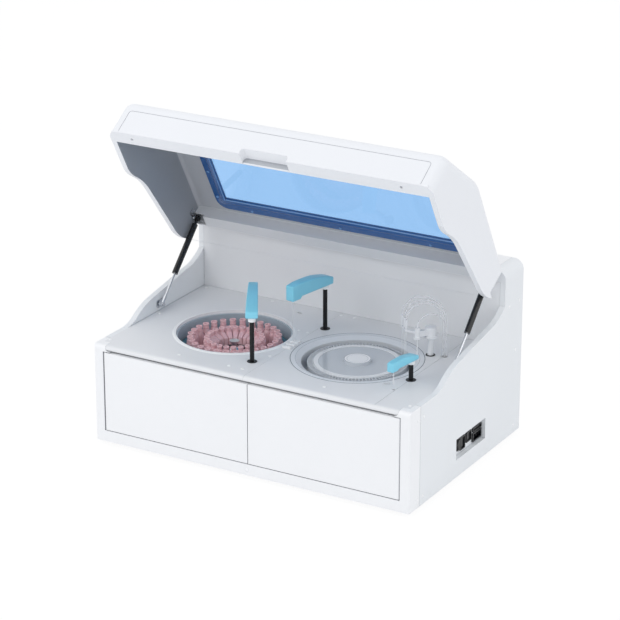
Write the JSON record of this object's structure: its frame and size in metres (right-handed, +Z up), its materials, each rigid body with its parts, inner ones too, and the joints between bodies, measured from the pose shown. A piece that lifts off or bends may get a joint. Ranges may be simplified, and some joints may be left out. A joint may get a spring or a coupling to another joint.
{
  "type": "benchtop chemistry analyzer",
  "caption": "Benchtop chemistry analyzer, white casing, lid with blue window open on two gas struts, reagent carousel, reaction disk, arms on lifting columns",
  "frame": {"origin": "centre of the footprint on the bench, under the feet", "axes": "+X to the right along the front, +Y to the back, +Z up"},
  "size_m": [0.864, 0.576, 0.8186],
  "materials": {
    "casing_white": "satin white powder coat",
    "casing_side": "satin pale blue-grey",
    "deck_grey": "satin pale grey",
    "lid_white": "moulded white outside, grey inside",
    "window_blue": "blue tinted clear pane",
    "frame_blue": "deep blue",
    "arm_blue": "light blue, semi-gloss",
    "black_plastic": "matt black",
    "shaft_black": "black coated steel",
    "steel": "satin",
    "alloy": "plain",
    "bottle_rose": "frosted, rose tint",
    "rack_teal": "moulded teal grey",
    "disk_white": "moulded white",
    "cuvette_clear": "clear",
    "cap_white": "matt white",
    "bath_grey": "dark grey",
    "motor_dark": "black and bare metal",
    "board_green": "coated board",
    "rubber_black": "matt",
    "socket_dark": "dark plastic sockets"
  },
  "bodies": {
    "casing": {"base_tray": "alloy", "feet": "rubber_black", "chassis_frame": "alloy", "front_frame": "casing_white", "left_side_panel": "casing_side", "right_side_panel": "casing_side", "hood_top": "casing_white", "rear_wall": "deck_grey", "rear_panel": "casing_side", "deck_plate_left": "deck_grey", "deck_plate_right": "deck_grey", "well_rim": "cap_white", "reagent_tub": "bath_grey", "reaction_bezel": "deck_grey", "reaction_bath": "bath_grey", "wash_wells": "disk_white", "arm_base_rings": "black_plastic", "screw_caps": "cap_white", "drive_frames": "alloy", "drive_motors": "motor_dark", "connectors": "socket_dark", "syringe_barrels": "alloy", "power_supply": "alloy", "control_board": "board_green", "cooling_unit": "alloy", "fluid_pumps": "motor_dark", "fan_frame": "black_plastic", "strut_lower_brackets": "steel", "hinge_pins": "steel"},
    "lid": {"lid_shell": "lid_white", "lid_window": "window_blue", "lid_window_frame": "frame_blue", "strut_upper_brackets": "steel"},
    "left_strut_lower": {"left_strut_rod": "steel"},
    "left_strut_upper": {"left_strut_cylinder": "shaft_black"},
    "right_strut_lower": {"right_strut_rod": "steel"},
    "right_strut_upper": {"right_strut_cylinder": "shaft_black"},
    "left_front_door": {"left_door": "casing_white"},
    "right_front_door": {"right_door": "casing_white"},
    "reagent_carousel": {"reagent_rack": "rack_teal", "reagent_bottles": "bottle_rose", "rack_knob": "alloy"},
    "reaction_disk": {"reaction_rotor": "disk_white", "cuvette_ring": "cuvette_clear"},
    "sample_lift": {"sample_carriage": "alloy"},
    "sample_swing": {"sample_shaft": "shaft_black", "sample_arm": "arm_blue", "sample_probe": "steel"},
    "reagent_lift": {"reagent_carriage": "alloy"},
    "reagent_swing": {"reagent_shaft": "shaft_black", "reagent_arm": "arm_blue", "reagent_probe": "steel"},
    "mixer_lift": {"mixer_carriage": "alloy"},
    "mixer_swing": {"mixer_shaft": "shaft_black", "mixer_arm": "arm_blue"},
    "mixer_spin": {"mixer_paddle": "steel"},
    "cuvette_washer": {"wash_head": "cap_white"},
    "rocker": {"power_switch": "black_plastic"},
    "fan": {"fan_rotor": "black_plastic"},
    "syringe_drive": {"syringe_plungers": "steel"}
  },
  "joints": [
    {"name": "lid_hinge", "type": "hinge", "parent": "casing", "child": "lid", "pos_m": [0, 0.1886, 0.446], "axis": [1, 0, 0], "range_deg": [0, 60.8], "stiffness_Nm_per_rad": 12, "springref_deg": -60.16},
    {"name": "left_strut_pivot", "type": "hinge", "parent": "casing", "child": "left_strut_lower", "pos_m": [-0.406, -0.0238, 0.2783], "axis": [1, 0, 0], "range_deg": [-12, 2]},
    {"name": "left_strut_stroke", "type": "slide", "parent": "left_strut_lower", "child": "left_strut_upper", "axis": [0, 0.6982, 0.7159], "range_m": [-0.018, 0.004]},
    {"name": "right_strut_pivot", "type": "hinge", "parent": "casing", "child": "right_strut_lower", "pos_m": [0.406, -0.0238, 0.2783], "axis": [1, 0, 0], "range_deg": [-12, 2]},
    {"name": "right_strut_stroke", "type": "slide", "parent": "right_strut_lower", "child": "right_strut_upper", "axis": [0, 0.6982, 0.7159], "range_m": [-0.018, 0.004]},
    {"name": "left_door_hinge", "type": "hinge", "parent": "casing", "child": "left_front_door", "pos_m": [-0.399, -0.283, 0.14], "axis": [0, 0, 1], "range_deg": [-105, 0]},
    {"name": "right_door_hinge", "type": "hinge", "parent": "casing", "child": "right_front_door", "pos_m": [0.399, -0.283, 0.14], "axis": [0, 0, 1], "range_deg": [0, 105]},
    {"name": "carousel_turn", "type": "hinge", "parent": "casing", "child": "reagent_carousel", "pos_m": [-0.177, -0.054, 0.15], "axis": [0, 0, 1], "continuous": true},
    {"name": "reaction_turn", "type": "hinge", "parent": "casing", "child": "reaction_disk", "pos_m": [0.1625, -0.051, 0.2], "axis": [0, 0, 1], "continuous": true},
    {"name": "sample_raise", "type": "slide", "parent": "casing", "child": "sample_lift", "axis": [0, 0, 1], "range_m": [-0.04, 0]},
    {"name": "sample_turn", "type": "hinge", "parent": "sample_lift", "child": "sample_swing", "pos_m": [-0.041, -0.1963, 0.134], "axis": [0, 0, 1], "range_deg": [0, 46.1]},
    {"name": "reagent_raise", "type": "slide", "parent": "casing", "child": "reagent_lift", "axis": [0, 0, 1], "range_m": [-0.06, 0]},
    {"name": "reagent_turn", "type": "hinge", "parent": "reagent_lift", "child": "reagent_swing", "pos_m": [0.0026, 0.0747, 0.134], "axis": [0, 0, 1], "range_deg": [-32, 32.3]},
    {"name": "mixer_raise", "type": "slide", "parent": "casing", "child": "mixer_lift", "axis": [0, 0, 1], "range_m": [-0.038, 0]},
    {"name": "mixer_turn", "type": "hinge", "parent": "mixer_lift", "child": "mixer_swing", "pos_m": [0.3369, -0.1101, 0.134], "axis": [0, 0, 1], "range_deg": [-100.2, 0]},
    {"name": "paddle_spin", "type": "hinge", "parent": "mixer_swing", "child": "mixer_spin", "pos_m": [0.32937, -0.18171, 0.29], "axis": [0, 0, 1], "continuous": true},
    {"name": "washer_raise", "type": "slide", "parent": "casing", "child": "cuvette_washer", "axis": [0, 0, 1], "range_m": [-0.025, 0]},
    {"name": "switch_rock", "type": "hinge", "parent": "casing", "child": "rocker", "pos_m": [0.418, -0.0215, 0.0815], "axis": [0, 1, 0], "range_deg": [-12, 12]},
    {"name": "fan_spin", "type": "hinge", "parent": "casing", "child": "fan", "pos_m": [0.21, 0.26, 0.14], "axis": [0, 1, 0], "continuous": true},
    {"name": "syringe_stroke", "type": "slide", "parent": "casing", "child": "syringe_drive", "axis": [0, 0, 1], "range_m": [0, 0.026]}
  ],
  "couplings": [
    {"joint": "left_strut_pivot", "follows": "lid_hinge", "ratio": -0.1656},
    {"joint": "left_strut_stroke", "follows": "lid_hinge", "m_per_rad": -0.013139},
    {"joint": "right_strut_pivot", "follows": "lid_hinge", "ratio": -0.1656},
    {"joint": "right_strut_stroke", "follows": "lid_hinge", "m_per_rad": -0.013139}
  ]
}
